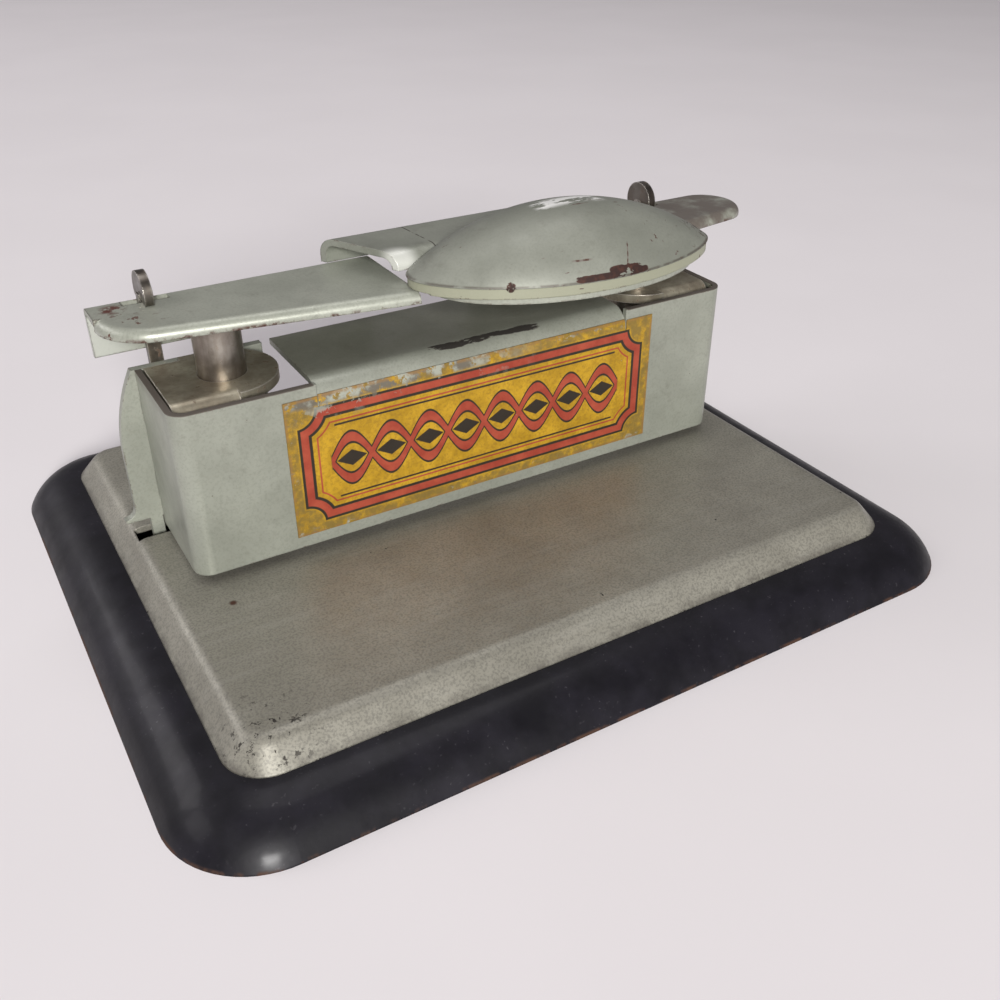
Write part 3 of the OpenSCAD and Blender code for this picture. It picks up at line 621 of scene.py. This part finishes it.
def print_label():
    """Gold field in a red border with dark outlines and scooped corners, and a plain woven ornament."""
    look = Look("label_print")
    x = look.axis(X)
    z = look.math("SUBTRACT", look.axis(Z), LABEL_MID.z)
    wide = look.math("ABSOLUTE", x)
    high = look.math("ABSOLUTE", z)

    # Distance past the border's outer line, below 0 inside it
    past_x = look.math("SUBTRACT", wide, LABEL_HALF.x - BORDER_INSET)
    past_z = look.math("SUBTRACT", high, LABEL_HALF.z - BORDER_INSET)
    square_x = look.math("MULTIPLY", past_x, past_x)
    square_z = look.math("MULTIPLY", past_z, past_z)
    from_corner = look.math("SQRT", look.math("ADD", square_x, square_z))
    scoop = look.math("SUBTRACT", BORDER_SCOOP, from_corner)
    border = look.math("MAXIMUM", look.math("MAXIMUM", past_x, past_z), scoop)
    red = look.between(border, low=-1.55, high=-0.35, soft=0.07)
    dark = look.either(
        look.between(border, low=-0.4, high=0.0, soft=0.07),
        look.between(border, low=-1.95, high=-1.5, soft=0.07),
    )
    inner = look.between(border, low=-2.85, high=-2.6, soft=0.06)

    def from_wave(turn):
        """Height from a wave along the label."""
        angle = look.math("ADD", look.math("MULTIPLY", x, 2 * math.pi / WAVE_PITCH), turn)
        wave = look.math("MULTIPLY", look.math("SINE", angle), WAVE_HEIGHT)
        return look.math("ABSOLUTE", look.math("SUBTRACT", z, wave))

    field = look.step(wide, start=WAVE_HALF + 0.2, full=WAVE_HALF - 0.1)
    waves = [from_wave(0.0), from_wave(math.pi)]
    ribbon = look.either(*(look.both(field, look.step(w, start=0.80, full=0.66)) for w in waves))
    outline = look.either(*(look.both(field, look.step(w, start=1.16, full=1.02)) for w in waves))
    quarter = WAVE_PITCH / 4
    cell = look.math("PINGPONG", look.math("ADD", wide, quarter), quarter)
    lozenge = look.math("ADD", look.math("MULTIPLY", cell, LOZENGE_SLOPE), high)
    gem = look.both(field, look.step(lozenge, start=1.35, full=1.2))
    pin = look.both(
        look.step(wide, start=PIN_HALF + 0.1, full=PIN_HALF - 0.1),
        look.between(high, low=5.55, high=5.85, soft=0.06),
    )

    cloud = look.noise(size=3.0, detail=5, rough=0.65)
    grain = look.noise(size=0.4, detail=3, rough=0.6)
    gold = look.mix(look.step(cloud, start=0.34, full=0.68), GOLD_DEEP, GOLD_PALE)
    gold = look.tint(gold, GOLD_GRAIN, look.step(grain, start=0.45, full=0.66), amount=0.45)
    red_ink = look.mix(look.step(cloud, start=0.3, full=0.7), RED_DEEP, RED_PALE)
    dirt = look.both(
        look.step(border, start=-0.1, full=0.4),
        look.spots(size=1.8, start=0.30, full=0.60, detail=5, rough=0.65, shift=(0.1, 0, 0.3)),
    )
    gold = look.tint(gold, GOLD_DIRT, dirt, amount=0.8)
    colour = look.tint(gold, red_ink, red)
    colour = look.tint(colour, INK, look.either(dark, pin))
    colour = look.tint(colour, red_ink, inner)
    colour = look.tint(colour, INK, outline)
    colour = look.tint(colour, red_ink, ribbon)
    colour = look.tint(colour, INK, gem)

    # Distance past the sheet's own edge, below 0 on the sheet
    edge = look.math(
        "MAXIMUM",
        look.math("SUBTRACT", wide, LABEL_HALF.x),
        look.math("SUBTRACT", high, LABEL_HALF.z),
    )
    rub = look.spots(size=2.2, start=0.58, full=0.61, detail=6, rough=0.7)
    ragged = look.noise(size=3.2, detail=6, rough=0.7, shift=(0.4, 0, 0))
    top = look.either(
        look.both(look.step(z, start=6.0, full=10.0), look.step(ragged, start=0.56, full=0.585)),
        look.both(look.step(z, start=8.8, full=9.6), look.step(ragged, start=0.45, full=0.49)),
    )
    gone = look.either(
        look.both(look.step(edge, start=-1.3, full=-0.1), rub),
        look.both(top, look.step(x, start=12.0, full=-4.0)),
        look.spots(size=1.1, start=0.725, full=0.74, rough=0.65),
    )
    sheet = look.mix(look.step(cloud, start=0.4, full=0.6), SHEET_PALE, SHEET_DEEP)
    colour = look.tint(colour, sheet, gone)
    rim = look.both(look.step(edge, start=-0.55, full=-0.2), look.spots(size=1.5, start=0.4, full=0.5))
    colour = look.tint(colour, SHEET_RIM, rim, amount=0.7)
    look.surface(colour, look.noise(size=2.5, rough=0.6), gloss=(0.36, 0.55))
    look.set("Metallic", 0.15)
    look.set("Specular IOR Level", 0.25)
    look.bumps(
        Layer(grain, strength=0.08, depth=0.03),
        Layer(gone, strength=-0.4, depth=0.05),
        radius=0.05,
    )
    return look.mat


def wear(mat, *names):
    """Gives the CAD pieces of those names one material."""
    for name in names:
        mesh = nodes[name].data
        mesh.materials.clear()
        mesh.materials.append(mat)
        for face in mesh.polygons:
            face.material_index = 0


STEEL = steel("bare_steel")
DULL = steel("dull_steel", tone=(0.8, 0.8, 0.8), rust=0.56)
DARK = steel("post_steel", tone=(0.38, 0.38, 0.38), rust=0.58)
GREY = steel("guide_steel", tone=(0.90, 0.90, 0.78), gloss=(0.34, 0.50), metallic=0.72)
wear(enamel(), "base_pan")
wear(bed_paint(), "bed_plate")
wear(painted("shell_paint_and_shade", chips=0.66, extra=shell_wear_and_shade), "shell")
wear(painted("frame_paint", chips=0.65), "back_frame")
# The levers' paint is lighter than the case's (tone 1.14), and the yoke's and the pad's are darker (0.85
# and 0.80): painted light on the levers' tops and painted shade on the yoke and the pad.
wear(painted("lever_paint_lit", chips=0.62, extra=lever_wear_and_highlight, tone=1.14), "lever_left", "lever_right")
wear(painted("yoke_paint_shaded", chips=0.62, extra=yoke_wear_and_highlight, tone=0.85), "yoke")
wear(painted("pad_paint_shaded", chips=0.64, extra=pad_wear_and_highlights, tone=0.80, gloss=(0.38, 0.54)), "press_dome")
wear(print_label(), "label")
wear(GREY, "guide_left", "guide_right")
wear(STEEL, "punch_left", "punch_right", "die_left", "die_right")
wear(DULL, "bottom_cover", "collar_left", "collar_right", "collar_pin_left", "collar_pin_right")
wear(DARK, "post_left", "post_right", "post_rivets", "press_studs")

# The wire springs, in metres
WIRE_RADIUS = 0.45 * MM
COIL_RADIUS = 4.45 * MM
STRAIGHT_END = 2 * WIRE_RADIUS
BEND_RISE = 1.1 * STRAIGHT_END
CURLS = 7
RINGS_A_CURL = 40
BEND_STEPS = 6
WIRE_SIDES = 14


def wire_line(length):
    """(turn, height, lean) along a wire that stands up at each end and coils between."""
    straight, rise = STRAIGHT_END, BEND_RISE
    bend = rise / COIL_RADIUS
    flat = math.pi / 2
    coil = 2 * math.pi * CURLS
    end = 2 * bend + coil
    climb = length - 2 * (straight + rise)
    leans = [flat * k / BEND_STEPS for k in range(1, BEND_STEPS)]
    line = [(0.0, 0.0, 0.0), (0.0, straight, 0.0)]
    for lean in leans:
        line.append((bend * (1 - math.cos(lean)), straight + rise * math.sin(lean), lean))
    rings = RINGS_A_CURL * CURLS
    for k in range(rings + 1):
        share = k / rings
        line.append((bend + coil * share, straight + rise + climb * share, flat))
    for lean in reversed(leans):
        line.append((end - bend * (1 - math.cos(lean)), length - straight - rise * math.sin(lean), lean))
    line += [(end, length - straight, 0.0), (end, length, 0.0)]
    return line


def wire_spring(name, node, punch):
    """A round-wire spring round its punch, in the same room as its plain solid."""
    low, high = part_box(node)
    length = high.z - low.z
    punch_low, punch_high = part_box(punch)
    punch_middle = (punch_low + punch_high) / 2
    centre = Vector((punch_middle.x, punch_middle.y, low.z))
    line = wire_line(length)
    points, faces = [], []
    for turn, up, lean in line:
        for k in range(WIRE_SIDES):
            angle = 2 * math.pi * k / WIRE_SIDES
            out = COIL_RADIUS + WIRE_RADIUS * math.cos(angle)
            across = WIRE_RADIUS * math.sin(angle)
            along = across * math.cos(lean)
            points.append(centre + Vector((
                out * math.cos(turn) - along * math.sin(turn),
                out * math.sin(turn) + along * math.cos(turn),
                up - across * math.sin(lean),
            )))
    for ring in range(len(line) - 1):
        for k in range(WIRE_SIDES):
            a = ring * WIRE_SIDES + k
            b = ring * WIRE_SIDES + (k + 1) % WIRE_SIDES
            faces.append((a, b, b + WIRE_SIDES, a + WIRE_SIDES))
    faces.append(tuple(reversed(range(WIRE_SIDES))))
    faces.append(tuple((len(line) - 1) * WIRE_SIDES + k for k in range(WIRE_SIDES)))
    mesh = bpy.data.meshes.new(name)
    mesh.from_pydata(points, [], faces)
    mesh.materials.append(STEEL)
    for face in mesh.polygons:
        face.use_smooth = len(face.vertices) == 4
    obj = bpy.data.objects.new(name, mesh)
    bpy.context.scene.collection.objects.link(obj)
    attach(obj, "base")
    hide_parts(node)
    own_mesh(obj)


wire_spring("wire_spring_left", "spring_left", "punch_left")
wire_spring("wire_spring_right", "spring_right", "punch_right")

# The floor, the lamps and the camera: places and sizes in metres, angles in degrees,
# the lens and the sensor in millimetres
FLOOR_HALF = 12.0
AIM = (0.0, 0.0, 0.02)
WARM = (1.0, 0.985, 0.97)
ROSE = (1.0, 0.97, 1.0)
PALE_ROSE = (1.0, 0.98, 1.0)
WORLD_STRENGTH = 0.24
CAMERA_PLACE = (-0.06869, -0.12723, 0.09521)
CAMERA_YAW = 30.726
CAMERA_PITCH = 32.205
CAMERA_LENS = 37.66
CAMERA_SENSOR = 36.0
CAMERA_NEAREST = 0.01


def floor_paint():
    """A matt pale floor."""
    look = Look("floor_paint")
    cloud = look.noise(size=60, rough=0.5)
    fine = look.noise(size=1.2, detail=3, rough=0.6)
    base = look.mix(look.step(cloud, start=0.3, full=0.7), FLOOR_DEEP, FLOOR_PALE)
    look.surface(base, fine, gloss=(0.8, 0.9))
    look.set("Specular IOR Level", 0.1)
    look.bumps(Layer(fine, strength=0.05, depth=0.03), radius=0.01)
    return look.mat


mesh = bpy.data.meshes.new("floor")
signs = ((-1, -1), (1, -1), (1, 1), (-1, 1))
mesh.from_pydata([(FLOOR_HALF * x, FLOOR_HALF * y, 0) for x, y in signs], [], [(0, 1, 2, 3)])
mesh.materials.append(floor_paint())
floor = bpy.data.objects.new("floor", mesh)
bpy.context.scene.collection.objects.link(floor)


def facing(direction):
    """The turn of a lamp or camera that faces that way, upright."""
    return Vector(direction).to_track_quat("-Z", "Y")


def lamp(name, place, size, watts, tint, spread=180.0):
    """A square lamp that shines at the part."""
    data = bpy.data.lights.new(name, "AREA")
    data.size = size
    data.energy = watts
    data.spread = math.radians(spread)
    data.color = tint
    obj = bpy.data.objects.new(name, data)
    obj.location = place
    obj.rotation_euler = facing(Vector(AIM) - Vector(place)).to_euler()
    bpy.context.scene.collection.objects.link(obj)


lamp("key", place=(-0.48, -1.50, 0.64), size=0.42, watts=4.4, tint=WARM, spread=60.0)
lamp("fill", place=(-1.20, 0.30, 0.80), size=0.60, watts=3.0, tint=ROSE)
lamp("back", place=(-0.85, 0.95, 0.75), size=0.60, watts=4.5, tint=ROSE)
lamp("top", place=(0.20, 0.30, 1.50), size=0.80, watts=5.0, tint=PALE_ROSE)

scene = bpy.context.scene
world = bpy.data.worlds.new("studio")
world.use_nodes = True
background = world.node_tree.nodes["Background"]
background.inputs["Color"].default_value = (*WORLD_TINT, 1)
background.inputs["Strength"].default_value = WORLD_STRENGTH
scene.world = world
scene.view_settings.view_transform = "Standard"

yaw = math.radians(CAMERA_YAW)
pitch = math.radians(CAMERA_PITCH)
forward = (math.sin(yaw) * math.cos(pitch), math.cos(yaw) * math.cos(pitch), -math.sin(pitch))
camera = bpy.data.objects.new("camera", bpy.data.cameras.new("camera"))
camera.data.lens = CAMERA_LENS
camera.data.sensor_width = CAMERA_SENSOR
camera.data.clip_start = CAMERA_NEAREST
camera.matrix_world = Matrix.Translation(CAMERA_PLACE) @ facing(forward).to_matrix().to_4x4()
scene.collection.objects.link(camera)
scene.camera = camera
